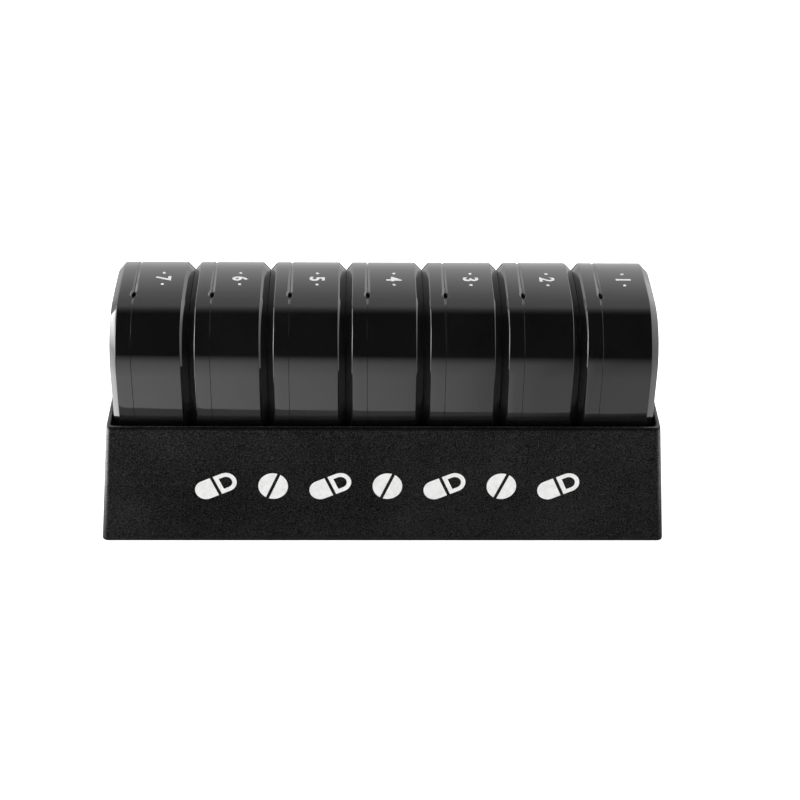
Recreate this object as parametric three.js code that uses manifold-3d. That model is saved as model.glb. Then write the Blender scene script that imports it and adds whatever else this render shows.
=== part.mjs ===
// Travel pill organizer: seven upright pill pods, one for each day of the week, in an open tray.
// Millimetres. +X runs along the row, +Y to the back, +Z up. The origin is under the tray's middle.
// Each pod is a deep body and a shallow lid that meet on a flat seam and share a hinge pin below.
import * as THREE from 'three';
import { mergeVertices } from 'three/addons/utils/BufferGeometryUtils.js';
import Module from 'manifold-3d';

const wasm = await Module();
wasm.setup();

const DAYS = ['sat', 'fri', 'thu', 'wed', 'tue', 'mon', 'sun']; // left to right

// Pods
const POD_PITCH = 25.77;
const POD_THICKNESS = 25.4;
const POD_DEPTH = 54.4;
const POD_HEIGHT = 80.2;
const FRONT_TOP_RADIUS = 20;
const BACK_TOP_RADIUS = 17;
const BOTTOM_RADIUS = 7;
const SIDE_CHAMFER = 2.2;
const INNER_CHAMFER = 1.3;
const POD_WALL = 1.6;
const LID_THICKNESS = 7;
const SEAM_GAP = 0.2;
const TOP_CORNER_STEPS = 8;
const BOTTOM_CORNER_STEPS = 3;

// Fingernail groove across the seam, on top of each pod
const GROOVE_HALF_WIDTH = 1;
const GROOVE_FRONT = -6.9;
const GROOVE_BACK = 22;
const GROOVE_REACH_DOWN = 16;
const NOTCH_SIDE = 1.9;
const NOTCH_DEPTH = 1.2;

// Hinge under the seam, on the lid's side of it
const PIN_RADIUS = 0.9;
const PIN_LENGTH = 24.4;
const PIN_CLEARANCE = 0.08;
const HINGE_OFFSET = 2;
const HINGE_HEIGHT = 2.4;
const KNUCKLE_RADIUS = 1.9;
const KNUCKLE_INNER = 6.8;
const KNUCKLE_OUTER = 12.6;
const HOOK_HALF_LENGTH = 6.4;
const HINGE_BAY = { length: 26, width: 4.3, height: 5, wall: 1.3 };
const KNUCKLE_WEB_HALF_HEIGHT = 1.6;
const ROUND_STEPS = 16;

// Tray
const RIM_WIDTH = 184.8;
const RIM_DEPTH = 60;
const TRAY_HEIGHT = 44.1;
const TRAY_SPREAD = 4; // each wall stands this much further out at its foot
const TRAY_WALL = 1.4;
const TRAY_FLOOR = 2;
const TRAY_CORNER_RADIUS = 2;
const TRAY_CORNER_STEPS = 3;
const FLOOR_GAP = 0.2;
const RIB_THICKNESS = 1.2;
const RIB_ENTRY = 1.4; // how far a rib reaches into the groove between two pods
const RIB_TOP = 36;

const SEAM_X = -POD_THICKNESS / 2 + LID_THICKNESS;
const HINGE_X = SEAM_X - HINGE_OFFSET;
const POD_BASE_Z = TRAY_FLOOR + FLOOR_GAP;
const FAR = 200; // well past every surface, for cutters

const GLOSS_BLACK = { color: 0x0a0a0b, roughness: 0.12, metalness: 0 };
const MATTE_BLACK = { color: 0x1c1c1e, roughness: 0.72, metalness: 0 };
const STEEL = { color: 0xb4b6b9, roughness: 0.3, metalness: 1 };

function toSolid(geometry) {
  geometry.deleteAttribute('normal');
  geometry.deleteAttribute('uv');
  const merged = mergeVertices(geometry);
  return new wasm.Manifold(
    new wasm.Mesh({
      numProp: 3,
      vertProperties: new Float32Array(merged.attributes.position.array),
      triVerts: new Uint32Array(merged.index.array),
    })
  );
}

function toGeometry(solid) {
  const mesh = solid.getMesh();
  const geometry = new THREE.BufferGeometry();
  geometry.setAttribute('position', new THREE.BufferAttribute(new Float32Array(mesh.vertProperties), 3));
  geometry.setIndex(new THREE.BufferAttribute(new Uint32Array(mesh.triVerts), 1));
  geometry.computeVertexNormals();
  return geometry;
}

function box([x0, x1], [y0, y1], [z0, z1]) {
  const geometry = new THREE.BoxGeometry(x1 - x0, y1 - y0, z1 - z0);
  geometry.translate((x0 + x1) / 2, (y0 + y1) / 2, (z0 + z1) / 2);
  return toSolid(geometry);
}

function rodAlongY(radius, [y0, y1]) {
  const geometry = new THREE.CylinderGeometry(radius, radius, y1 - y0, ROUND_STEPS);
  geometry.translate(HINGE_X, (y0 + y1) / 2, HINGE_HEIGHT);
  return toSolid(geometry);
}

function cornerPoints(x, y, radius, startAngle, steps) {
  const points = [];
  for (let i = 0; i <= steps; i += 1) {
    const angle = startAngle + ((Math.PI / 2) * i) / steps;
    points.push(new THREE.Vector2(x + radius * Math.cos(angle), y + radius * Math.sin(angle)));
  }
  return points;
}

// The pod seen from its side, in Y and Z, drawn in from its outer surface by inset.
function podOutline(inset) {
  const corner = (y, z, radius, start, steps) => cornerPoints(y, z, radius - inset, start, steps);
  const front = -POD_DEPTH / 2;
  const back = POD_DEPTH / 2;
  const low = BOTTOM_RADIUS;
  const frontTop = FRONT_TOP_RADIUS;
  const backTop = BACK_TOP_RADIUS;
  return [
    ...corner(back - low, low, low, -Math.PI / 2, BOTTOM_CORNER_STEPS),
    ...corner(back - backTop, POD_HEIGHT - backTop, backTop, 0, TOP_CORNER_STEPS),
    ...corner(front + frontTop, POD_HEIGHT - frontTop, frontTop, Math.PI / 2, TOP_CORNER_STEPS),
    ...corner(front + low, low, low, Math.PI, BOTTOM_CORNER_STEPS),
  ];
}

// Extrudes a Y-Z outline along X, with a 45 degree chamfer round both ends.
function slab(outline, [x0, x1], chamfer) {
  const geometry = new THREE.ExtrudeGeometry(new THREE.Shape(outline), {
    depth: x1 - x0 - 2 * chamfer,
    bevelEnabled: true,
    bevelThickness: chamfer,
    bevelSize: chamfer,
    bevelOffset: -chamfer,
    bevelSegments: 1,
  });
  geometry.translate(0, 0, x0 + chamfer);
  const alongX = new THREE.Matrix4().makeBasis(
    new THREE.Vector3(0, 1, 0),
    new THREE.Vector3(0, 0, 1),
    new THREE.Vector3(1, 0, 0)
  );
  return toSolid(geometry.applyMatrix4(alongX));
}

function podBlank() {
  return slab(podOutline(0), [-POD_THICKNESS / 2, POD_THICKNESS / 2], SIDE_CHAMFER);
}

function podCavity() {
  const half = POD_THICKNESS / 2 - POD_WALL;
  return slab(podOutline(POD_WALL), [-half, half], INNER_CHAMFER);
}

// One half's side of the V groove: a 45 degree bevel along its edge at the seam. Side is -1 or 1.
function grooveCutter(side) {
  const alongX = (distance) => [SEAM_X, SEAM_X + side * distance].sort((a, b) => a - b);
  const reach = box(
    alongX(GROOVE_HALF_WIDTH),
    [GROOVE_FRONT, GROOVE_BACK],
    [POD_HEIGHT - GROOVE_REACH_DOWN, POD_HEIGHT + GROOVE_HALF_WIDTH]
  );
  return reach.subtract(slab(podOutline(0), alongX(LID_THICKNESS), GROOVE_HALF_WIDTH));
}

// The pointed pocket that ends the groove at the front.
function notchCutter() {
  const geometry = new THREE.BoxGeometry(NOTCH_SIDE, NOTCH_SIDE, 2 * NOTCH_DEPTH);
  geometry.rotateZ(Math.PI / 4);
  geometry.translate(SEAM_X, GROOVE_FRONT, POD_HEIGHT);
  return toSolid(geometry);
}

function hingeBay(margin) {
  return box(
    [SEAM_X - HINGE_BAY.width - margin, SEAM_X + margin],
    [-HINGE_BAY.length / 2 - margin, HINGE_BAY.length / 2 + margin],
    [-FAR, HINGE_BAY.height + margin]
  );
}

function podBody() {
  const face = SEAM_X + SEAM_GAP / 2;
  const side = box([face, FAR], [-FAR, FAR], [-FAR, FAR]);
  const hollow = podCavity().subtract(hingeBay(HINGE_BAY.wall));
  let body = podBlank().intersect(side).subtract(hollow);
  for (const [y0, y1] of [
    [-KNUCKLE_OUTER, -KNUCKLE_INNER],
    [KNUCKLE_INNER, KNUCKLE_OUTER],
  ]) {
    const webLow = HINGE_HEIGHT - KNUCKLE_WEB_HALF_HEIGHT;
    const webHigh = HINGE_HEIGHT + KNUCKLE_WEB_HALF_HEIGHT;
    body = body
      .add(rodAlongY(KNUCKLE_RADIUS, [y0, y1]))
      .add(box([HINGE_X, face + HINGE_BAY.wall / 2], [y0, y1], [webLow, webHigh]))
      .subtract(rodAlongY(PIN_RADIUS + PIN_CLEARANCE, [y0 - 1, y1 + 1]));
  }
  return body.subtract(grooveCutter(1)).subtract(notchCutter());
}

// The lid's hook is open below, so it drops over the pin and lifts off it.
function lidHook() {
  const length = [-HOOK_HALF_LENGTH, HOOK_HALF_LENGTH];
  const slotHalf = PIN_RADIUS + PIN_CLEARANCE;
  const neck = box(
    [HINGE_X - KNUCKLE_RADIUS, SEAM_X - SEAM_GAP],
    length,
    [HINGE_HEIGHT, HINGE_BAY.height + HINGE_BAY.wall / 2]
  );
  const slot = box([HINGE_X - slotHalf, HINGE_X + slotHalf], [-FAR, FAR], [-FAR, HINGE_HEIGHT]);
  const pinSeat = rodAlongY(slotHalf, [-FAR, FAR]);
  return rodAlongY(KNUCKLE_RADIUS, length).add(neck).subtract(slot).subtract(pinSeat);
}

function podLid() {
  const face = SEAM_X - SEAM_GAP / 2;
  const side = box([-FAR, face], [-FAR, FAR], [-FAR, FAR]);
  const hollow = podCavity().subtract(hingeBay(HINGE_BAY.wall));
  return podBlank()
    .intersect(side)
    .subtract(hollow)
    .subtract(hingeBay(0))
    .add(lidHook())
    .subtract(grooveCutter(-1))
    .subtract(notchCutter());
}

// A block with rounded upright corners whose four sides lean in towards the top.
function leaningBlock(width, depth, radius, z0, z1) {
  const x = width / 2 - radius;
  const y = depth / 2 - radius;
  const shape = new THREE.Shape([
    ...cornerPoints(x, -y, radius, -Math.PI / 2, TRAY_CORNER_STEPS),
    ...cornerPoints(x, y, radius, 0, TRAY_CORNER_STEPS),
    ...cornerPoints(-x, y, radius, Math.PI / 2, TRAY_CORNER_STEPS),
    ...cornerPoints(-x, -y, radius, Math.PI, TRAY_CORNER_STEPS),
  ]);
  const geometry = new THREE.ExtrudeGeometry(shape, { depth: z1 - z0, bevelEnabled: false });
  geometry.translate(0, 0, z0);
  const position = geometry.attributes.position;
  for (let i = 0; i < position.count; i += 1) {
    const lean = TRAY_SPREAD * (1 - position.getZ(i) / TRAY_HEIGHT);
    position.setX(i, position.getX(i) + Math.sign(position.getX(i)) * lean);
    position.setY(i, position.getY(i) + Math.sign(position.getY(i)) * lean);
  }
  return toSolid(geometry);
}

// One upright rib on each long wall and a low one across the floor, between two pods.
function locatingRib(x) {
  const width = [x - RIB_THICKNESS / 2, x + RIB_THICKNESS / 2];
  const podFront = POD_DEPTH / 2 - RIB_ENTRY;
  const wallMiddle = (RIM_DEPTH - TRAY_WALL) / 2;
  const upright = [TRAY_FLOOR / 2, RIB_TOP];
  const low = [TRAY_FLOOR / 2, POD_BASE_Z + RIB_ENTRY];
  return box(width, [-wallMiddle - TRAY_SPREAD, -podFront], upright)
    .add(box(width, [podFront, wallMiddle + TRAY_SPREAD], upright))
    .add(box(width, [-wallMiddle, wallMiddle], low));
}

function tray() {
  const outside = leaningBlock(RIM_WIDTH, RIM_DEPTH, TRAY_CORNER_RADIUS, 0, TRAY_HEIGHT);
  const inside = leaningBlock(
    RIM_WIDTH - 2 * TRAY_WALL,
    RIM_DEPTH - 2 * TRAY_WALL,
    TRAY_CORNER_RADIUS - TRAY_WALL / 2,
    TRAY_FLOOR,
    TRAY_HEIGHT + 1
  );
  let shell = outside.subtract(inside);
  for (let i = 1; i < DAYS.length; i += 1) {
    const x = (i - DAYS.length / 2) * POD_PITCH;
    shell = shell.add(locatingRib(x).intersect(outside));
  }
  return shell;
}

function piece(name, geometry, look) {
  const mesh = new THREE.Mesh(geometry, new THREE.MeshStandardMaterial(look));
  mesh.name = name;
  return mesh;
}

const bodyGeometry = toGeometry(podBody());
const lidGeometry = toGeometry(podLid());
const pinGeometry = toGeometry(rodAlongY(PIN_RADIUS, [-PIN_LENGTH / 2, PIN_LENGTH / 2]));

const organizer = new THREE.Group();
organizer.add(piece('tray', toGeometry(tray()), MATTE_BLACK));
DAYS.forEach((day, i) => {
  const pod = new THREE.Group();
  pod.position.set((i - (DAYS.length - 1) / 2) * POD_PITCH, 0, POD_BASE_Z);
  pod.add(piece(`pod_body_${day}`, bodyGeometry, GLOSS_BLACK));
  pod.add(piece(`pod_lid_${day}`, lidGeometry, GLOSS_BLACK));
  pod.add(piece(`hinge_pin_${day}`, pinGeometry, STEEL));
  organizer.add(pod);
});

export default organizer;
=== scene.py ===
"""Looks for the travel pill organizer: seven glossy pods in a matt tray.

The pods, tray, hinge pins and printed marks are built here in millimetres in the CAD frame, over the
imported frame's boxes, and stand for the CAD nodes of the same places.
"""

import math

import bmesh  # noqa: E402
import bpy  # noqa: E402
from mathutils import Matrix, Vector  # noqa: E402


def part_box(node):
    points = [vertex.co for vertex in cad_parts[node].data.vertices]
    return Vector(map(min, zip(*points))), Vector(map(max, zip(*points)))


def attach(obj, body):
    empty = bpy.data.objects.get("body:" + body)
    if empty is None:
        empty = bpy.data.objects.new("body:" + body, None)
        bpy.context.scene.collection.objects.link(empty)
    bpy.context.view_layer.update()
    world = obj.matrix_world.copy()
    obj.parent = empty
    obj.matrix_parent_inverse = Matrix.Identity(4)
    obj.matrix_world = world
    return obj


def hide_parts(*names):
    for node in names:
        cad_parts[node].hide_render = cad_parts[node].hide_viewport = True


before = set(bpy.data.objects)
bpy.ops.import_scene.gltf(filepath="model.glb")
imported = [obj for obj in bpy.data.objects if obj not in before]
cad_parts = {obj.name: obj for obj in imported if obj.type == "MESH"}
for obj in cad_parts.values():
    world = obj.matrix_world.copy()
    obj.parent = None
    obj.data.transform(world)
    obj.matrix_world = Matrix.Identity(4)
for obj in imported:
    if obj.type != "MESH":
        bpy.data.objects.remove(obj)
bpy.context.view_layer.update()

MM = 0.001
DAYS = ["sat", "fri", "thu", "wed", "tue", "mon", "sun"]  # left to right
DAY_NUMBERS = {"sat": 7, "fri": 6, "thu": 5, "wed": 4, "tue": 3, "mon": 2, "sun": 1}


def box_mm(node):
    low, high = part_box(node)
    return [c / MM for c in low], [c / MM for c in high]


# Sizes that follow the CAD, in millimetres
lid_low, lid_high = box_mm("pod_lid_wed")
_, tray_high = box_mm("tray")
first_low, _ = box_mm("pod_lid_sat")
last_low, _ = box_mm("pod_lid_sun")
POD_PITCH = (last_low[0] - first_low[0]) / (len(DAYS) - 1)
POD_BASE = lid_low[2]
POD_HEIGHT = lid_high[2] - lid_low[2]
POD_HALF_DEPTH = (lid_high[1] - lid_low[1]) / 2
POD_HALF_THICK = -lid_low[0]
CAD_SEAM_GAP = 0.2
SEAM_X = lid_high[0] + CAD_SEAM_GAP / 2
TRAY_TOP = tray_high[2]
TRAY_FOOT_HALF_WIDTH = tray_high[0]
TRAY_FOOT_HALF_DEPTH = tray_high[1]

MERGE_DISTANCE = 1e-7  # metres
SHARP_ANGLE = 28  # degrees; edges flatter than this are shaded smooth

# Pod outline seen from the side
FRONT_TOP_RADIUS = 20
BACK_TOP_RADIUS = 17
CROWN_RADIUS = 220
CROWN_APEX_Y = 3
CROWN_DROP = 0.04  # leaves room for the ink on top
BOTTOM_RADIUS = 7
BOTTOM_STEPS = 8
BACK_TOP_STEPS = 48
FRONT_TOP_STEPS = 44
CROWN_STEP = 1.0
CROWN_END_MARGIN = 0.2  # the crown's last point stops this far before the front corner

# Pod half, from its side wall to its seam face
SIDE_SKIN = 0.17  # each side stands this much further out, so that neighbours nearly touch
LID_CHAMFER = 2.2
BODY_CHAMFER = 2.5
CHAMFER_DEPTH = 2.5
SIDE_CAP_MARGIN = 1.4
LID_FILLET = 0.55
BODY_FILLET = 0.35
FINE_BAND = 2.6  # plain rings end this far from the seam face, and close ones follow
FINE_RING_STEP = 0.12
FINE_RINGS = 17
SEAM_GAP = 0.05
SEAM_FILLET = 0.07
SEAM_CORNER = 0.08
SEAM_FACE_INSETS = (0.3, 0.6, 0.9, 1.15, 1.38)
WALL = 1.6
MOUTH_EDGE = 0.2
MOUTH_FILLET = 0.15
INNER_CHAMFER = 1.3
INNER_FILLET = 0.5
INNER_CAP_MARGIN = 3.0

# Nail groove, which narrows to the back, and the spade-shaped pocket at its front end
GROOVE_HALF_WIDTH = 1.0
GROOVE_DEPTH = 0.36
GROOVE_TAPER = 0.6
GROOVE_BOTTOM = 0.2
GROOVE_FRONT = -5.6
GROOVE_BACK = 24.0
GROOVE_FADE = 0.1  # part of the groove's length over which its back end rises
POCKET_Y = -7.7
POCKET_LID_SIDE = 0.75
POCKET_BODY_SIDE = 1.2
POCKET_BACK_REACH = 3.0
POCKET_FRONT_REACH = 2.3
POCKET_DEPTH = 1.3
POCKET_STEEPNESS = 1.6
POCKET_LIP = 0.2
POCKET_LIP_WIDTH = 0.42
POCKET_LIP_START = 1.6  # in front of POCKET_Y, where the lip begins to rise
POCKET_LIP_FULL = 0.2  # in front of POCKET_Y, where it has its full height
TAIL_HALF_WIDTH = 0.3
TAIL_DEPTH = 0.22
TAIL_END = -13.0
TAIL_FADE = 1.4
FINE_BACK = -4.4  # the outline has close points between here and the tail's end
FINE_STEP = 0.14

# Hinge, with heights above the pod's foot
HINGE_TO_SEAM = 2.0
HINGE_X = SEAM_X - HINGE_TO_SEAM
HINGE_Z = 2.4
PIN_RADIUS = 0.9
PIN_HALF_LENGTH = 12.2
PIN_SEGMENTS = 28
PIN_END = [(0.0, 0.35), (0.0, 0.7), (0.07, 0.82), (0.2, PIN_RADIUS)]  # (distance from the end, radius)
KNUCKLE_RADIUS = 1.9
KNUCKLE_START = 6.8  # distances from the pod's middle, front and back alike
KNUCKLE_END = 12.6
ARM_LOW = 0.8
ARM_TOP = 4.0
ARM_INTO_BODY = 0.65
BORE_RADIUS = 0.98
BORE_OVERRUN = 1.0
ROD_SEGMENTS = 32
FOOT_PLATE_HALF_LENGTH = 14.3  # the thicker wall round the hinge
FOOT_PLATE_LOW = 0.7
FOOT_PLATE_TOP = 6.3
FOOT_PLATE_SET_IN = 0.03  # behind the seam face
BODY_PLATE_THICKNESS = 1.2
LID_PLATE_REACH = 5.6
BAY_REACH = 4.3  # the room in the lid for the knuckles and arms
BAY_PAST_SEAM = 1.0
BAY_HALF_LENGTH = 13
BAY_LOW = -5
BAY_TOP = 5
HOOK_HALF_LENGTH = 6.4
HOOK_BACK = 1.85
HOOK_TOP = 5.6
HOOK_CUT_HALF_LENGTH = 8
HOOK_CUT_LOW = -3

# Tray
TRAY_SPREAD = 4.0
TRAY_WALL = 1.4
TRAY_FLOOR = 2.0
TRAY_CORNER = 2.0
TRAY_CORNER_MIN = 0.25
TRAY_CORNER_STEPS = 8
TRAY_CAP_MARGIN = 6
FOOT_FILLET = 0.5
RIM_OUTER_FILLET = 0.6
RIM_INNER_FILLET = 0.3
FLOOR_FILLET = 1.2
RIB_THICKNESS = 1.2
RIB_TOP = 36.0
RIB_ENTRY = 1.4  # how far a rib reaches in under the pods' outline
RIB_LEAD = (0.5, 0.8)  # depth and height of the slope at a rib's top
RIB_FOOT_CHAMFER = 1.5
RIB_FLOOR_GAP = 0.2


# ---------------------------------------------------------------- mesh helpers


def rounded_path(corners, steps):
    """A polyline through (a, b, radius) corners, with an arc in place of each inner corner."""
    points = []
    for i, (a, b, radius) in enumerate(corners):
        here = Vector((a, b))
        if radius == 0 or i in (0, len(corners) - 1):
            points.append(here)
            continue
        before = (Vector(corners[i - 1][:2]) - here).normalized()
        after = (Vector(corners[i + 1][:2]) - here).normalized()
        half = before.angle(after) / 2
        reach = radius / math.tan(half)
        start = here + before * reach
        end = here + after * reach
        centre = here + (before + after).normalized() * (radius / math.sin(half))
        first, last = start - centre, end - centre
        turn = first.angle_signed(last)
        for k in range(steps + 1):
            angle = -turn * k / steps
            points.append(centre + Matrix.Rotation(angle, 2) @ first)
    return points


def loft(name, rings, material):
    """A closed mesh through rings of equal point counts, capped at both ends. Rings are in millimetres."""
    bm = bmesh.new()
    rows = [[bm.verts.new(Vector(p) * MM) for p in ring] for ring in rings]
    count = len(rows[0])
    for row, following in zip(rows, rows[1:]):
        for i in range(count):
            j = (i + 1) % count
            bm.faces.new((row[i], row[j], following[j], following[i]))
    bm.faces.new(rows[0])
    bm.faces.new(rows[-1])
    bmesh.ops.remove_doubles(bm, verts=bm.verts, dist=MERGE_DISTANCE)
    bmesh.ops.dissolve_degenerate(bm, dist=MERGE_DISTANCE, edges=bm.edges)
    bmesh.ops.recalc_face_normals(bm, faces=bm.faces)
    return mesh_object(name, bm, material)


def mesh_object(name, bm, material=None):
    mesh = bpy.data.meshes.new(name)
    bm.to_mesh(mesh)
    bm.free()
    obj = bpy.data.objects.new(name, mesh)
    bpy.context.scene.collection.objects.link(obj)
    if material:
        mesh.materials.append(material)
    return obj


def mesh_of_curve(curve):
    """A text or curve turned into an editable mesh, in its own units."""
    obj = bpy.data.objects.new(curve.name, curve)
    bpy.context.scene.collection.objects.link(obj)
    depsgraph = bpy.context.evaluated_depsgraph_get()
    mesh = bpy.data.meshes.new_from_object(obj.evaluated_get(depsgraph))
    bpy.data.objects.remove(obj)
    bm = bmesh.new()
    bm.from_mesh(mesh)
    return bm


def smooth(obj):
    mesh = obj.data
    mesh.shade_smooth()
    mesh.set_sharp_from_angle(angle=math.radians(SHARP_ANGLE))


def block(low, high):
    """A box between two corners in millimetres, for use in booleans."""
    bm = bmesh.new()
    bmesh.ops.create_cube(bm, size=1)
    low, high = Vector(low) * MM, Vector(high) * MM
    for v in bm.verts:
        v.co = Vector([(low[i] + high[i]) / 2 + v.co[i] * (high[i] - low[i]) for i in range(3)])
    return mesh_object("tool_block", bm)


def above_foot(z):
    """The height in the frame of a point z above a pod's foot."""
    return POD_BASE + z


def rod(radius, y0, y1):
    """A cylinder on the hinge's axis, for use in booleans."""
    bm = bmesh.new()
    bmesh.ops.create_cone(
        bm,
        cap_ends=True,
        segments=ROD_SEGMENTS,
        radius1=radius * MM,
        radius2=radius * MM,
        depth=(y1 - y0) * MM,
    )
    turn = Matrix.Rotation(math.radians(90), 4, "X")
    shift = Matrix.Translation(Vector((HINGE_X, (y0 + y1) / 2, above_foot(HINGE_Z))) * MM)
    bmesh.ops.transform(bm, matrix=shift @ turn, verts=bm.verts)
    return mesh_object("tool_rod", bm)


def carve(obj, tool, operation):
    """Joins or cuts obj by tool and removes the tool."""
    modifier = obj.modifiers.new("carve", "BOOLEAN")
    modifier.operation = operation
    modifier.solver = "EXACT"
    modifier.object = tool
    depsgraph = bpy.context.evaluated_depsgraph_get()
    result = bpy.data.meshes.new_from_object(obj.evaluated_get(depsgraph))
    obj.modifiers.clear()
    obj.data = result
    bpy.data.objects.remove(tool)


# ---------------------------------------------------------------- materials


class Nodes:
    """A small helper round one material's node tree, working in object coordinates."""

    def __init__(self, name):
        self.material = bpy.data.materials.new(name)
        self.material.use_nodes = True
        self.tree = self.material.node_tree
        self.shader = self.tree.nodes["Principled BSDF"]
        self.place = self.tree.nodes.new("ShaderNodeTexCoord").outputs["Object"]

    def link(self, a, b):
        self.tree.links.new(a, b)

    def noise(self, scale, detail, rough=0.5, stretch=None):
        vector = self.place
        if stretch:
            mapping = self.tree.nodes.new("ShaderNodeMapping")
            mapping.inputs["Scale"].default_value = stretch
            self.link(vector, mapping.inputs["Vector"])
            vector = mapping.outputs["Vector"]
        node = self.tree.nodes.new("ShaderNodeTexNoise")
        node.inputs["Scale"].default_value = scale
        node.inputs["Detail"].default_value = detail
        node.inputs["Roughness"].default_value = rough
        self.link(vector, node.inputs["Vector"])
        return node.outputs["Fac"]

    def axis(self, letter):
        """One object coordinate, in metres."""
        node = self.tree.nodes.new("ShaderNodeSeparateXYZ")
        self.link(self.place, node.inputs[0])
        return node.outputs[letter]

    def facing(self):
        """0 where the surface faces the viewer, up to 1 where it turns away."""
        return self.tree.nodes.new("ShaderNodeLayerWeight").outputs["Facing"]

    def span(self, value, source, target):
        """The value, mapped from the source range to the target range and held inside it."""
        node = self.tree.nodes.new("ShaderNodeMapRange")
        for socket, number in zip(("From Min", "From Max", "To Min", "To Max"), (*source, *target)):
            node.inputs[socket].default_value = number
        self.link(value, node.inputs["Value"])
        return node.outputs["Result"]

    def math(self, operation, a, b):
        node = self.tree.nodes.new("ShaderNodeMath")
        node.operation = operation
        for socket, value in zip(node.inputs, (a, b)):
            if isinstance(value, (int, float)):
                socket.default_value = value
            else:
                self.link(value, socket)
        return node.outputs[0]

    def ramp(self, value, stops):
        node = self.tree.nodes.new("ShaderNodeValToRGB")
        elements = node.color_ramp.elements
        while len(elements) < len(stops):
            elements.new(0.5)
        for element, (at, colour) in zip(elements, stops):
            element.position = at
            element.color = (*colour, 1)
        self.link(value, node.inputs["Fac"])
        return node.outputs["Color"]

    def bump(self, layers):
        """Layers of (height, strength, distance in metres), coarse first."""
        normal = None
        for height, strength, distance in layers:
            node = self.tree.nodes.new("ShaderNodeBump")
            node.inputs["Strength"].default_value = strength
            node.inputs["Distance"].default_value = distance
            self.link(height, node.inputs["Height"])
            if normal:
                self.link(normal, node.inputs["Normal"])
            normal = node.outputs["Normal"]
        self.link(normal, self.shader.inputs["Normal"])


def gloss_black():
    """Polished black plastic: faint moulding waviness, hairline rub marks and finger haze."""
    n = Nodes("pod_gloss_black")
    haze = n.noise(scale=38, detail=4, rough=0.6)
    rubs = n.noise(scale=900, detail=2, stretch=(1.0, 0.06, 0.06))
    waves = n.noise(scale=70, detail=1, rough=0.4)
    colour = n.ramp(haze, [(0.3, (0.0044, 0.0044, 0.0047)), (0.75, (0.0078, 0.0077, 0.0076))])
    n.link(colour, n.shader.inputs["Base Color"])
    haze_rough = n.span(haze, (0.35, 0.75), (0.018, 0.045))
    rub_rough = n.span(rubs, (0.62, 0.8), (0.0, 0.04))
    n.link(n.math("ADD", haze_rough, rub_rough), n.shader.inputs["Roughness"])
    n.shader.inputs["IOR"].default_value = 1.5
    n.bump([(waves, 0.12, 0.00004), (rubs, 0.05, 0.000004)])
    return n.material


def matte_black():
    """Spark-textured black plastic: fine grain, painted shade that darkens the rim's top, and faint wear at
    rim and foot.
    """
    n = Nodes("tray_matte_black")
    grain = n.noise(scale=2300, detail=2, rough=0.6)
    speck = n.noise(scale=4200, detail=2, rough=0.55)
    patches = n.noise(scale=22, detail=3, rough=0.55)
    tone = n.math("ADD", n.math("MULTIPLY", grain, 0.50), n.math("MULTIPLY", speck, 0.35))
    tone = n.math("ADD", tone, n.math("MULTIPLY", patches, 0.15))
    height = n.axis("Z")
    top_wear = n.span(height, ((TRAY_TOP - 0.3) * MM, TRAY_TOP * MM), (0.0, 0.5))
    foot_wear = n.span(height, (0.8 * MM, 0.0), (0.0, 1.0))
    wear_patches = n.span(patches, (0.42, 0.62), (0.0, 0.05))
    wear = n.math("MULTIPLY", n.math("ADD", top_wear, foot_wear), wear_patches)
    # Painted shade: the base colour darkens towards the rim's top, standing in for the little light that
    # falls there.
    painted_shade_rim = n.span(height, ((TRAY_TOP - 1.1) * MM, (TRAY_TOP - 0.5) * MM), (0.0, -0.1))
    tone = n.math("ADD", n.math("ADD", tone, wear), painted_shade_rim)
    stops = [
        (0.42, (0.0010, 0.0010, 0.0011)),
        (0.5, (0.0052, 0.0051, 0.0053)),
        (0.58, (0.0170, 0.0167, 0.0170)),
    ]
    n.link(n.ramp(tone, stops), n.shader.inputs["Base Color"])
    n.link(n.span(speck, (0.3, 0.7), (0.42, 0.58)), n.shader.inputs["Roughness"])
    # The gloss rises as the surface turns away. The export drops this link, hence the fixed level too.
    turned_away = n.span(n.facing(), (0.16, 0.42), (0.085, 0.9))
    grain_gloss = n.span(tone, (0.41, 0.59), (0.35, 1.7))
    n.shader.inputs["Specular IOR Level"].default_value = 0.14
    n.link(n.math("MULTIPLY", turned_away, grain_gloss), n.shader.inputs["Specular IOR Level"])
    n.bump([(patches, 0.1, 0.0002), (grain, 0.5, 0.00006), (speck, 0.35, 0.00003)])
    return n.material


def white_ink(name):
    """Screen-printed white ink, very slightly uneven over the plastic's grain."""
    n = Nodes(name)
    grain = n.noise(scale=2600, detail=3, rough=0.62)
    cover = n.noise(scale=700, detail=2)
    colour = n.ramp(cover, [(0.25, (0.70, 0.70, 0.69)), (0.6, (0.80, 0.80, 0.79))])
    n.link(colour, n.shader.inputs["Base Color"])
    n.link(n.span(cover, (0.3, 0.7), (0.42, 0.55)), n.shader.inputs["Roughness"])
    n.bump([(grain, 0.2, 0.00003)])
    return n.material


def drawn_steel():
    """Drawn steel wire: fine lines along the pin."""
    n = Nodes("hinge_steel")
    lines = n.noise(scale=1500, detail=2, stretch=(1.0, 0.03, 1.0))
    colour = n.ramp(lines, [(0.3, (0.50, 0.50, 0.51)), (0.7, (0.66, 0.66, 0.67))])
    n.link(colour, n.shader.inputs["Base Color"])
    n.link(n.span(lines, (0.3, 0.7), (0.22, 0.38)), n.shader.inputs["Roughness"])
    n.shader.inputs["Metallic"].default_value = 1.0
    n.bump([(lines, 0.25, 0.00001)])
    return n.material


GLOSS = gloss_black()
MATTE = matte_black()
TRAY_INK = white_ink("tray_white_ink")
POD_INK = white_ink("pod_white_ink")
STEEL = drawn_steel()


# ---------------------------------------------------------------- pods


def arc_angles(start, end, steps):
    return [start + (end - start) * k / steps for k in range(steps + 1)]


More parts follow.
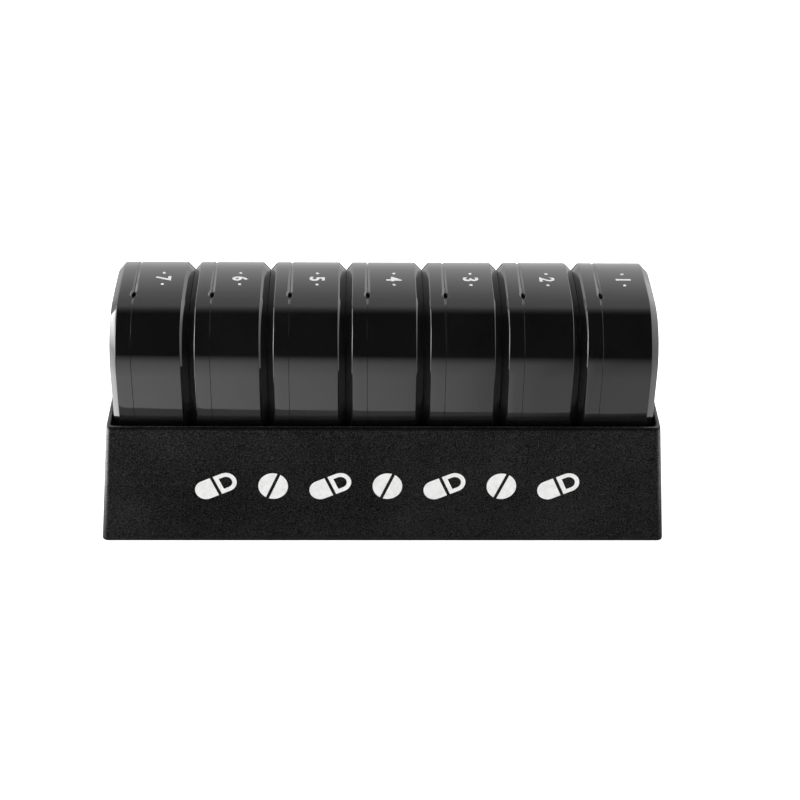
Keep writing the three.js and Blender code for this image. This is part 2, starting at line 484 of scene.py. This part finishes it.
def pod_outline():
    """Points of the side outline as (centre y, centre z, radius, angle), so that insets are exact."""
    front, back = -POD_HALF_DEPTH, POD_HALF_DEPTH
    crown_z = POD_HEIGHT - CROWN_DROP - CROWN_RADIUS

    def beside_crown(radius, edge):
        """Centre and tilt of the corner arc that meets the crown and the upright side smoothly."""
        y = edge - math.copysign(radius, edge)
        tilt = math.asin((y - CROWN_APEX_Y) / (CROWN_RADIUS - radius))
        return y, crown_z + (CROWN_RADIUS - radius) * math.cos(tilt), tilt

    back_y, back_z, back_tilt = beside_crown(BACK_TOP_RADIUS, back)
    front_y, front_z, front_tilt = beside_crown(FRONT_TOP_RADIUS, front)
    low = BOTTOM_RADIUS
    quarter = math.pi / 2
    arcs = [(back - low, low, low, arc_angles(-quarter, 0, BOTTOM_STEPS))]
    arcs.append((back_y, back_z, BACK_TOP_RADIUS, arc_angles(0, quarter - back_tilt, BACK_TOP_STEPS)))
    crown = []
    y = back_y - CROWN_STEP
    while y > front_y + CROWN_END_MARGIN:
        crown.append(math.acos((y - CROWN_APEX_Y) / CROWN_RADIUS))
        y -= FINE_STEP if y < FINE_BACK else CROWN_STEP
    arcs.append((CROWN_APEX_Y, crown_z, CROWN_RADIUS, crown))
    tail_angle = quarter + math.asin((front_y - TAIL_END) / FRONT_TOP_RADIUS)
    fine_steps = int((front_y - TAIL_END) / FINE_STEP)
    bend = arc_angles(quarter - front_tilt, tail_angle, fine_steps)
    bend += arc_angles(tail_angle, math.pi, FRONT_TOP_STEPS)[1:]
    arcs.append((front_y, front_z, FRONT_TOP_RADIUS, bend))
    arcs.append((front + low, low, low, arc_angles(math.pi, 3 * quarter, BOTTOM_STEPS)))
    return [(cy, cz, r, a) for cy, cz, r, angles in arcs for a in angles]


def smoothstep(value, low, high):
    t = min(1.0, max(0.0, (value - low) / (high - low)))
    return t * t * (3 - 2 * t)


def groove_inset(y, z, beside):
    """How deep the surface lies under the plain outline, beside the seam by so much. Less than 0 is a lip."""
    if z < POD_HEIGHT / 2:
        return 0.0
    depth = 0.0
    from_seam = abs(beside)
    if GROOVE_FRONT < y < GROOVE_BACK:
        along = (y - GROOVE_FRONT) / (GROOVE_BACK - GROOVE_FRONT)
        width = GROOVE_HALF_WIDTH * (1 - GROOVE_TAPER * along)
        slope = max(0.0, width - max(from_seam, GROOVE_BOTTOM)) / (width - GROOVE_BOTTOM)
        depth = GROOVE_DEPTH * slope * smoothstep(1 - along, 0, GROOVE_FADE)
    if TAIL_END < y < POCKET_Y:
        fade = smoothstep(y, TAIL_END, TAIL_END + TAIL_FADE)
        depth = max(depth, TAIL_DEPTH * fade * (1 - from_seam / TAIL_HALF_WIDTH))
    reach = POCKET_BACK_REACH if y > POCKET_Y else POCKET_FRONT_REACH
    half_width = POCKET_BODY_SIDE if beside > 0 else POCKET_LID_SIDE
    inside = 1 - from_seam / half_width - abs(y - POCKET_Y) / reach
    if inside > 0:
        return max(depth, POCKET_DEPTH * min(1.0, inside * POCKET_STEEPNESS))
    if beside > 0:
        return depth
    fade = smoothstep(y, POCKET_Y - POCKET_LIP_START, POCKET_Y - POCKET_LIP_FULL)
    return depth - POCKET_LIP * fade * max(0.0, 1 - abs(inside / POCKET_LIP_WIDTH + 1))


def pod_half(name, side_x, face_x, chamfer, fillet):
    """One half of a pod: a hollow shell from its side wall to its seam face."""
    inward = 1 if face_x > side_x else -1
    inner_x = side_x + inward * (WALL + SIDE_SKIN)
    outer = rounded_path(
        [
            (side_x, CHAMFER_DEPTH + SIDE_CAP_MARGIN, 0),
            (side_x, CHAMFER_DEPTH, fillet),
            (side_x + inward * chamfer, 0, fillet),
            (face_x - inward * FINE_BAND, 0, 0),
        ],
        steps=6,
    )
    edge = [Vector((face_x - inward * FINE_RING_STEP * k, 0)) for k in range(FINE_RINGS, 0, -1)]
    lip = rounded_path(
        [(face_x - inward * SEAM_CORNER, 0, 0), (face_x, 0, SEAM_FILLET), (face_x, SEAM_CORNER, 0)],
        steps=3,
    )
    seam = [Vector((face_x, inset)) for inset in SEAM_FACE_INSETS]
    inner = rounded_path(
        [
            (face_x, WALL - MOUTH_EDGE, 0),
            (face_x, WALL, MOUTH_FILLET),
            (inner_x + inward * INNER_CHAMFER, WALL, INNER_FILLET),
            (inner_x, WALL + INNER_CHAMFER, INNER_FILLET),
            (inner_x, WALL + INNER_CAP_MARGIN, 0),
        ],
        steps=3,
    )
    outline = pod_outline()
    rings = []
    for x, inset in [*outer, *edge, *lip, *seam, *inner[1:]]:
        ring = []
        for cy, cz, radius, angle in outline:
            y0 = cy + radius * math.cos(angle)
            z0 = cz + radius * math.sin(angle)
            groove = groove_inset(y0, z0, x - SEAM_X)
            depth = max(inset, groove) if groove > 0 else inset + groove * (inset < SEAM_FILLET)
            reach = radius - depth
            ring.append((x, cy + reach * math.cos(angle), POD_BASE + cz + reach * math.sin(angle)))
        rings.append(ring)
    return loft(name, rings, GLOSS)


def foot_plate(x_from, x_to):
    """The thicker wall round the hinge, between two distances across the row."""
    return block(
        (x_from, -FOOT_PLATE_HALF_LENGTH, above_foot(FOOT_PLATE_LOW)),
        (x_to, FOOT_PLATE_HALF_LENGTH, above_foot(FOOT_PLATE_TOP)),
    )


def make_body():
    """The deep half, with two knuckles on arms that hold the pin."""
    face = SEAM_X + SEAM_GAP / 2
    body = pod_half("body_shape", POD_HALF_THICK + SIDE_SKIN, face, BODY_CHAMFER, BODY_FILLET)
    carve(body, foot_plate(face + FOOT_PLATE_SET_IN, face + BODY_PLATE_THICKNESS), "UNION")
    for y0, y1 in ((-KNUCKLE_END, -KNUCKLE_START), (KNUCKLE_START, KNUCKLE_END)):
        knuckle = rod(KNUCKLE_RADIUS, y0, y1)
        arm = block((HINGE_X, y0, above_foot(ARM_LOW)), (face + ARM_INTO_BODY, y1, above_foot(ARM_TOP)))
        carve(knuckle, arm, "UNION")
        carve(knuckle, rod(BORE_RADIUS, y0 - BORE_OVERRUN, y1 + BORE_OVERRUN), "DIFFERENCE")
        carve(body, knuckle, "UNION")
    return body


def make_lid():
    """The shallow half, with a bay for the knuckles and a hook, open below, that sits on the pin."""
    face = SEAM_X - SEAM_GAP / 2
    lid = pod_half("lid_shape", -POD_HALF_THICK - SIDE_SKIN, face, LID_CHAMFER, LID_FILLET)
    carve(lid, foot_plate(SEAM_X - LID_PLATE_REACH, face - FOOT_PLATE_SET_IN), "UNION")
    bay = block(
        (SEAM_X - BAY_REACH, -BAY_HALF_LENGTH, above_foot(BAY_LOW)),
        (SEAM_X + BAY_PAST_SEAM, BAY_HALF_LENGTH, above_foot(BAY_TOP)),
    )
    carve(lid, bay, "DIFFERENCE")
    hook = rod(KNUCKLE_RADIUS, -HOOK_HALF_LENGTH, HOOK_HALF_LENGTH)
    web = block(
        (HINGE_X - HOOK_BACK, -HOOK_HALF_LENGTH, above_foot(HINGE_Z)),
        (SEAM_X - CAD_SEAM_GAP, HOOK_HALF_LENGTH, above_foot(HOOK_TOP)),
    )
    carve(hook, web, "UNION")
    way_in = block(
        (HINGE_X - BORE_RADIUS, -HOOK_CUT_HALF_LENGTH, above_foot(HOOK_CUT_LOW)),
        (HINGE_X + BORE_RADIUS, HOOK_CUT_HALF_LENGTH, above_foot(HINGE_Z)),
    )
    carve(hook, way_in, "DIFFERENCE")
    carve(hook, rod(BORE_RADIUS, -HOOK_CUT_HALF_LENGTH, HOOK_CUT_HALF_LENGTH), "DIFFERENCE")
    carve(lid, hook, "UNION")
    return lid


def make_pin():
    """The pin, with softly rounded ends."""
    profile = [(-PIN_HALF_LENGTH + inset, radius) for inset, radius in PIN_END]
    profile += [(PIN_HALF_LENGTH - inset, radius) for inset, radius in reversed(PIN_END)]
    turns = [2 * math.pi * k / PIN_SEGMENTS for k in range(PIN_SEGMENTS)]
    rings = []
    for y, radius in profile:
        rings.append(
            [(HINGE_X + radius * math.cos(t), y, above_foot(HINGE_Z) + radius * math.sin(t)) for t in turns]
        )
    return loft("pin_shape", rings, STEEL)


def copy_to(source, name, x_mm, body, node=None):
    """A copy of a shape made at the middle pod, moved along the row and riding on a body."""
    mesh = source.data.copy()
    mesh.transform(Matrix.Translation((x_mm * MM, 0, 0)))
    mesh.name = name
    obj = bpy.data.objects.new(name, mesh)
    bpy.context.scene.collection.objects.link(obj)
    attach(obj, body)
    if node:
        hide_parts(node)


def crown_height(y):
    """Height of the pod's top surface at y, on the crown."""
    centre = POD_BASE + POD_HEIGHT - CROWN_DROP - CROWN_RADIUS
    return centre + math.sqrt(CROWN_RADIUS**2 - (y - CROWN_APEX_Y) ** 2)


LABEL_X = 3.2
LABEL_Y = 2.9
LABEL_SIZE = 6.9
LABEL_NARROW = 0.84
LABEL_LIFT = 0.012
LABEL_THICK = 0.018
LABEL_WEIGHT = 0.2  # the outline's growth, for a bolder figure
DOT_RADIUS = 0.55
DOT_OFFSET = 3.8
DOT_SEGMENTS = 20


def middle(values):
    return (min(values) + max(values)) / 2


def number_mark(day):
    """A day number between two dots, read from the row's right-hand end."""
    curve = bpy.data.curves.new("mark_text", "FONT")
    curve.body = str(DAY_NUMBERS[day])
    curve.size = LABEL_SIZE
    curve.align_x = "CENTER"
    curve.align_y = "CENTER"
    curve.offset = LABEL_WEIGHT
    curve.extrude = LABEL_THICK
    curve.resolution_u = 6
    bm = mesh_of_curve(curve)
    middle_v = middle([v.co.y for v in bm.verts])
    middle_u = middle([v.co.x for v in bm.verts])
    for v in bm.verts:
        v.co.x = (v.co.x - middle_u) * LABEL_NARROW
        v.co.y -= middle_v
    for u in (-DOT_OFFSET, DOT_OFFSET):
        bmesh.ops.create_cone(
            bm,
            cap_ends=True,
            segments=DOT_SEGMENTS,
            radius1=DOT_RADIUS,
            radius2=DOT_RADIUS,
            depth=2 * LABEL_THICK,
            matrix=Matrix.Translation((u, 0, 0)),
        )
    for v in bm.verts:
        u, w, h = v.co
        y = LABEL_Y - u
        v.co = Vector((LABEL_X + w, y, crown_height(y) + LABEL_LIFT + h)) * MM
    bmesh.ops.remove_doubles(bm, verts=bm.verts, dist=MERGE_DISTANCE)
    bmesh.ops.recalc_face_normals(bm, faces=bm.faces)
    return mesh_object("mark_shape", bm, POD_INK)


def make_pods():
    """Seven pods along the row, from one body, lid and pin, each with its own mark."""
    body, lid, pin = make_body(), make_lid(), make_pin()
    for shape in (body, lid, pin):
        smooth(shape)
    for i, day in enumerate(DAYS):
        x = (i - (len(DAYS) - 1) / 2) * POD_PITCH
        copy_to(body, f"pod_body_look_{day}", x, f"pod_{day}", f"pod_body_{day}")
        copy_to(lid, f"pod_lid_look_{day}", x, f"lid_{day}", f"pod_lid_{day}")
        copy_to(pin, f"hinge_pin_look_{day}", x, f"pod_{day}", f"hinge_pin_{day}")
        mark = number_mark(day)
        copy_to(mark, f"day_mark_{day}", x, f"pod_{day}")
        bpy.data.objects.remove(mark)
    for shape in (body, lid, pin):
        bpy.data.objects.remove(shape)


# ---------------------------------------------------------------- tray


def tray_ring(z, inset, radius):
    """A rounded rectangle at height z, inset from the tray's leaning outer face."""
    spread = -TRAY_SPREAD * min(1.0, max(0.0, z / TRAY_TOP)) - inset
    half_x = TRAY_FOOT_HALF_WIDTH + spread - radius
    half_y = TRAY_FOOT_HALF_DEPTH + spread - radius
    points = []
    for k, (sx, sy) in enumerate(((1, -1), (1, 1), (-1, 1), (-1, -1))):
        for angle in arc_angles((k - 1) * math.pi / 2, k * math.pi / 2, TRAY_CORNER_STEPS):
            points.append((sx * half_x + radius * math.cos(angle), sy * half_y + radius * math.sin(angle), z))
    return points


def make_shell():
    """The tray's leaning wall and floor, with softened foot, rim and floor edges."""
    path = rounded_path(
        [
            (0, TRAY_CAP_MARGIN, 0),
            (0, 0, FOOT_FILLET),
            (TRAY_TOP, 0, RIM_OUTER_FILLET),
            (TRAY_TOP, TRAY_WALL, RIM_INNER_FILLET),
            (TRAY_FLOOR, TRAY_WALL, FLOOR_FILLET),
            (TRAY_FLOOR, TRAY_WALL + TRAY_CAP_MARGIN, 0),
        ],
        steps=5,
    )
    rings = [tray_ring(z, inset, max(TRAY_CORNER_MIN, TRAY_CORNER - inset / 2)) for z, inset in path]
    return loft("tray_look", rings, MATTE)


def rib_outline():
    """One rib seen along the row, as (y, z): between the tray's walls, with an opening for the pods."""
    wall = TRAY_FOOT_HALF_DEPTH - TRAY_WALL / 2
    wall_at_top = wall - TRAY_SPREAD * RIB_TOP / TRAY_TOP
    pod_face = POD_HALF_DEPTH - RIB_ENTRY
    low = TRAY_FLOOR + RIB_FLOOR_GAP + RIB_ENTRY
    lead_depth, lead_height = RIB_LEAD
    back = [
        (wall, TRAY_FLOOR / 2),
        (wall_at_top, RIB_TOP),
        (pod_face + lead_depth, RIB_TOP),
        (pod_face, RIB_TOP - lead_height),
        (pod_face, low + RIB_FOOT_CHAMFER),
        (pod_face - RIB_FOOT_CHAMFER, low),
    ]
    front = [(-y, z) for y, z in reversed(back)]
    return back + front


def make_tray():
    """The shell, with a rib between each two pods."""
    tray = make_shell()
    side = rib_outline()
    for i in range(1, len(DAYS)):
        x = (i - len(DAYS) / 2) * POD_PITCH
        faces = [[(x + dx, y, z) for y, z in side] for dx in (-RIB_THICKNESS / 2, RIB_THICKNESS / 2)]
        carve(tray, loft("tool_rib", faces, MATTE), "UNION")
    smooth(tray)
    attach(tray, "tray")
    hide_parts("tray")


INK_THICK = 0.02
INK_LIFT = 0.012
INK_LINE = 1.5
ICON_CENTRE_Z = 21.8
ICON_MIDDLE_X = 1.2
ICON_SPACING = 19.3
ICON_TILT = 24  # degrees
ICON_HALF_GAP = 0.55  # half of the line between a pictogram's two parts
TABLET_RADIUS = 5.0
TABLET_STEPS = 24
CAPSULE_RADIUS = 3.6
CAPSULE_HALF_LENGTH = 7.4
CAPSULE_STEPS = 16


def half_round(radius, steps, trim=0.0):
    """Points of the right half of a circle, upwards, less an angle trimmed off each end."""
    quarter = math.pi / 2
    angles = arc_angles(trim - quarter, quarter - trim, steps)
    return [(radius * math.cos(a), radius * math.sin(a)) for a in angles]


def half_capsule(half_length, radius, start):
    """The part of a capsule's outline to the right of x = start."""
    end = [(half_length - radius + x, y) for x, y in half_round(radius, CAPSULE_STEPS)]
    return [(start, -radius), *end, (start, radius)]


def half_tablet():
    """The right half of a scored tablet."""
    return half_round(TABLET_RADIUS, TABLET_STEPS, math.asin(ICON_HALF_GAP / TABLET_RADIUS))


def opposite(loop):
    return [(-x, -y) for x, y in loop]


def turned(loop, degrees):
    c, s = math.cos(math.radians(degrees)), math.sin(math.radians(degrees))
    return [(c * x - s * y, s * x + c * y) for x, y in loop]


def icon_loops(index):
    """Loops of one pictogram: a capsule with one open half, or a scored round tablet."""
    if index % 2:
        tablet = half_tablet()
        return [turned(loop, -ICON_TILT) for loop in (tablet, opposite(tablet))]
    half = half_capsule(CAPSULE_HALF_LENGTH, CAPSULE_RADIUS, ICON_HALF_GAP)
    hole = half_capsule(CAPSULE_HALF_LENGTH - INK_LINE, CAPSULE_RADIUS - INK_LINE, ICON_HALF_GAP + INK_LINE)
    return [turned(loop, ICON_TILT) for loop in (half, opposite(half), hole)]


def front_point(x, up, lift):
    """A point on the tray's leaning front face, up along it from ICON_CENTRE_Z."""
    lean = math.atan2(TRAY_SPREAD, TRAY_TOP)
    z = ICON_CENTRE_Z + up * math.cos(lean)
    y = -TRAY_FOOT_HALF_DEPTH + TRAY_SPREAD * z / TRAY_TOP
    outward = Vector((0, -math.cos(lean), math.sin(lean)))
    return (Vector((x, y, z)) + outward * lift) * MM


def make_tray_print():
    """A row of pill pictograms printed along the tray's front."""
    count = len(DAYS)
    for i in range(count):
        curve = bpy.data.curves.new("icon", "CURVE")
        curve.dimensions = "2D"
        curve.fill_mode = "BOTH"
        curve.extrude = INK_THICK
        for loop in icon_loops(i):
            spline = curve.splines.new("POLY")
            spline.points.add(len(loop) - 1)
            for point, (x, y) in zip(spline.points, loop):
                point.co = (x, y, 0, 1)
            spline.use_cyclic_u = True
        bm = mesh_of_curve(curve)
        centre = ICON_MIDDLE_X + (i - (count - 1) / 2) * ICON_SPACING
        for v in bm.verts:
            v.co = front_point(centre + v.co.x, v.co.y, INK_LIFT + v.co.z)
        bmesh.ops.remove_doubles(bm, verts=bm.verts, dist=MERGE_DISTANCE)
        bmesh.ops.recalc_face_normals(bm, faces=bm.faces)
        icon = mesh_object(f"tray_print_{i + 1}", bm, TRAY_INK)
        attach(icon, "tray")


make_pods()
make_tray()
make_tray_print()


# ---------------------------------------------------------------- stage, light and camera


def plane(name, corners, material):
    bm = bmesh.new()
    bm.faces.new([bm.verts.new(c) for c in corners])
    obj = mesh_object(name, bm, material)
    return obj


def elevation(n):
    """The angle above the horizon seen from the object's origin, in degrees, the same in front and behind."""
    away = n.math("ABSOLUTE", n.axis("Y"), 0)
    return n.math("MULTIPLY", n.math("ARCTAN2", n.axis("Z"), away), math.degrees(1))


def glow(name, *ramps):
    """A glowing card. Each ramp is a coordinate with stops of (place, brightness); ramps multiply."""
    n = Nodes(name)
    value = 1.0
    for coordinate, stops in ramps:
        place = elevation(n) if coordinate == "elevation" else n.axis(coordinate)
        low, high = stops[0][0], stops[-1][0]
        peak = max(level for _, level in stops)
        spread = [((at - low) / (high - low), (level / peak,) * 3) for at, level in stops]
        grey = n.ramp(n.span(place, (low, high), (0.0, 1.0)), spread)
        value = n.math("MULTIPLY", n.math("MULTIPLY", grey, peak), value)
    n.shader.inputs["Base Color"].default_value = (0, 0, 0, 1)
    n.shader.inputs["Specular IOR Level"].default_value = 0.0
    n.shader.inputs["Emission Color"].default_value = (1, 1, 1, 1)
    n.link(value, n.shader.inputs["Emission Strength"])
    return n.material


def only_in_reflections(obj):
    """A card's glow is for the gloss: nothing else sees it or takes light or shadow from it."""
    obj.visible_camera = False
    obj.visible_diffuse = False
    obj.visible_shadow = False
    obj.visible_transmission = False


def arc_card(name, side, start_deg, end_deg, half_width, material):
    """A card bent round the pods' upper middle. Side is 1 behind the object and -1 in front of it."""
    bm = bmesh.new()
    rows = []
    for angle in arc_angles(start_deg, end_deg, ARC_STEPS):
        a = math.radians(angle)
        y, z = side * ARC_RADIUS * math.cos(a), ARC_RADIUS * math.sin(a)
        rows.append((bm.verts.new((-half_width, y, z)), bm.verts.new((half_width, y, z))))
    for (a, b), (c, d) in zip(rows, rows[1:]):
        bm.faces.new((a, b, d, c))
    obj = mesh_object(name, bm, material)
    obj.data.shade_smooth()
    obj.location = (0, 0, ARC_CENTRE_Z)
    only_in_reflections(obj)
    return obj


def side_card(name, x, y_range, z_range, material):
    """An upright card beside the object."""
    (y0, y1), (z0, z1) = y_range, z_range
    card = plane(name, [(x, y0, z0), (x, y1, z0), (x, y1, z1), (x, y0, z1)], material)
    only_in_reflections(card)


def soft_light(name, place, size, power):
    """A rectangular light for the matt surfaces and the soft shadow, which the gloss doesn't mirror."""
    data = bpy.data.lights.new(name, "AREA")
    data.shape = "RECTANGLE"
    data.size, data.size_y = size
    data.energy = power
    light = bpy.data.objects.new(name, data)
    bpy.context.scene.collection.objects.link(light)
    light.location = place
    light.rotation_euler = (LIGHT_AIM - Vector(place)).to_track_quat("-Z", "Y").to_euler()
    light.visible_glossy = False
    light.visible_camera = False


def floor_material():
    """Plain white, with a glow of its own that keeps it pale under the soft lights."""
    material = bpy.data.materials.new("floor_white")
    material.use_nodes = True
    shader = material.node_tree.nodes["Principled BSDF"]
    shader.inputs["Base Color"].default_value = (0.9, 0.9, 0.9, 1)
    shader.inputs["Roughness"].default_value = 0.9
    shader.inputs["Specular IOR Level"].default_value = 0.0
    shader.inputs["Emission Color"].default_value = (1, 1, 1, 1)
    shader.inputs["Emission Strength"].default_value = 0.9
    return material


# The stage, in metres
FLOOR_HALF = 6
ARC_RADIUS = 1.4
ARC_CENTRE_Z = 0.07
ARC_STEPS = 48
BACK_CARD_HALF_WIDTH = 2.2
FRONT_CARD_HALF_WIDTH = 0.65
FRONT_CARD_TILT = math.radians(8)
SIDE_CARD_X = 0.62
TABLE_CARD_HALF_WIDTH = 0.13
TABLE_CARD_FRONT = (-0.1035, -0.0975)  # y at its left and right
TABLE_CARD_BACK = 0.3
TABLE_CARD_Z = -0.001
LIGHT_AIM = Vector((0, 0, 0.04))

# Brightness of the cards, as stops of (elevation in degrees, level)
SKY = [
    (-30, 0.6), (5, 1.5), (24, 2.3), (28, 1.75), (31, 1.4),
    (36, 0.93), (50, 1.03), (66, 1.1), (71, 0.72), (76, 0.34), (81, 0.1), (85, 0.0),
]  # fmt: skip
FRONT_GLOW = [(-38, 2.3), (-20, 1.95), (-6, 1.6), (0, 1.25), (6, 0.65), (12, 0.0)]

# The same as stops of (x or y in metres, level)
FRONT_ACROSS = [(-0.3, 1.0), (-0.1, 0.95), (0.05, 0.83), (0.2, 0.72), (0.3, 0.53)]
TABLE_ACROSS = [(-0.13, 0.7), (0.05, 0.5), (0.075, 0.33), (0.13, 0.28)]
TABLE_ALONG = [(-0.11, 1.0), (-0.097, 1.0), (-0.0955, 0.2), (0.3, 0.2)]

# The same as stops of (z in metres, level)
LEFT_LOW_GLOW = [(-0.7, 5.0), (-0.1, 4.6), (-0.02, 4.3), (0.1, 10.0)]
LEFT_TOP_GLOW = [(0.93, 4.0), (1.35, 4.0)]
LEFT_FRONT_GLOW = [*LEFT_LOW_GLOW, (0.42, 14.0), (0.84, 13.0), *LEFT_TOP_GLOW]
LEFT_GLOW = [*LEFT_LOW_GLOW, (0.13, 8.5), (0.17, 2.2), (0.33, 2.2), (0.4, 5.0), (0.84, 5.0), *LEFT_TOP_GLOW]
LEFT_BACK_GLOW = [(-0.7, 1.0), (0.3, 1.0), (0.34, 2.5), (0.95, 2.5)]
RIGHT_GLOW = [
    (-0.7, 1.4), (0.0, 1.5), (0.15, 1.9), (0.33, 1.9), (0.4, 3.2), (0.95, 3.4), (1.2, 4.8), (1.35, 4.8),
]  # fmt: skip

# Upright cards beside the object: name, x, (y from, y to), (z from, z to), stops
SIDE_CARDS = [
    ("left_front", -SIDE_CARD_X, (-0.55, -0.13), (-0.7, 1.35), LEFT_FRONT_GLOW),
    ("left", -SIDE_CARD_X, (-0.13, 0.42), (-0.7, 1.35), LEFT_GLOW),
    ("left_back", -SIDE_CARD_X, (0.5, 0.95), (-0.7, 0.95), LEFT_BACK_GLOW),
    ("right", SIDE_CARD_X, (-0.9, 0.95), (-0.7, 1.35), RIGHT_GLOW),
]

# Soft lights: name, place, size, watts
LIGHTS = [
    ("light_top", (0.0, 0.1, 1.2), (1.0, 0.8), 9),
    ("light_front", (-0.1, -1.3, 0.4), (1.4, 0.7), 5.5),
    ("light_back", (0.1, 1.3, 0.4), (1.4, 0.7), 8),
    ("light_left", (-1.3, 0.0, 0.5), (0.8, 0.8), 6),
    ("light_right", (1.3, 0.0, 0.5), (0.8, 0.8), 6),
]


def make_room():
    """A white floor and a white world that only the camera sees, so that neither shows in the gloss."""
    half = FLOOR_HALF
    corners = [(-half, -half, 0), (half, -half, 0), (half, half, 0), (-half, half, 0)]
    floor = plane("floor", corners, floor_material())
    floor.visible_glossy = False
    world = bpy.data.worlds.new("studio")
    bpy.context.scene.world = world
    world.use_nodes = True
    background = world.node_tree.nodes["Background"]
    background.inputs["Color"].default_value = (1, 1, 1, 1)
    background.inputs["Strength"].default_value = 1.0
    world.cycles_visibility.diffuse = False
    world.cycles_visibility.glossy = False


def make_cards():
    """The cards that the gloss mirrors: behind, in front, under the front edge, and at both sides."""
    back_glow = glow("back_glow", ("elevation", SKY))
    arc_card("card_back", 1, SKY[0][0], SKY[-1][0], BACK_CARD_HALF_WIDTH, back_glow)
    front_glow = glow("front_glow", ("elevation", FRONT_GLOW), ("X", FRONT_ACROSS))
    start, end = FRONT_GLOW[0][0], FRONT_GLOW[-1][0]
    front = arc_card("card_front", -1, start, end, FRONT_CARD_HALF_WIDTH, front_glow)
    front.rotation_euler = (0, FRONT_CARD_TILT, 0)

    half, back, z = TABLE_CARD_HALF_WIDTH, TABLE_CARD_BACK, TABLE_CARD_Z
    front_left, front_right = TABLE_CARD_FRONT
    corners = [(-half, front_left, z), (half, front_right, z), (half, back, z), (-half, back, z)]
    table = plane("card_table", corners, glow("table_glow", ("X", TABLE_ACROSS), ("Y", TABLE_ALONG)))
    only_in_reflections(table)

    for name, x, y_range, z_range, stops in SIDE_CARDS:
        side_card(f"card_{name}", x, y_range, z_range, glow(f"{name}_glow", ("Z", stops)))


# The camera, fitted to the photo's viewing angle. Its frame is 800 by 800.
FOCAL_PX = 1850
FRAME_PX = 800
SENSOR_MM = 36
CAMERA_MM = Vector((-8.29, -539.14, 389.43))
CAMERA_PITCH = math.radians(33.263)
CAMERA_YAW = math.radians(1.500)
CAMERA_ROLL = math.radians(0.932)
CLIP_NEAR = 0.01
CLIP_FAR = 50


def make_camera():
    data = bpy.data.cameras.new("camera")
    data.sensor_width = SENSOR_MM
    data.lens = FOCAL_PX / FRAME_PX * SENSOR_MM
    data.clip_start = CLIP_NEAR
    data.clip_end = CLIP_FAR
    camera = bpy.data.objects.new("camera", data)
    bpy.context.scene.collection.objects.link(camera)
    level = math.cos(CAMERA_PITCH)
    forward = Vector((math.sin(CAMERA_YAW) * level, math.cos(CAMERA_YAW) * level, -math.sin(CAMERA_PITCH)))
    right = Vector((math.cos(CAMERA_YAW), -math.sin(CAMERA_YAW), 0))
    up = right.cross(forward)
    c, s = math.cos(CAMERA_ROLL), math.sin(CAMERA_ROLL)
    right, up = c * right + s * up, c * up - s * right
    turn = Matrix((right, up, -forward)).transposed().to_4x4()
    camera.matrix_world = Matrix.Translation(CAMERA_MM * MM) @ turn
    bpy.context.scene.camera = camera


make_room()
make_cards()
for light_facts in LIGHTS:
    soft_light(*light_facts)
make_camera()
bpy.context.scene.view_settings.view_transform = "Standard"
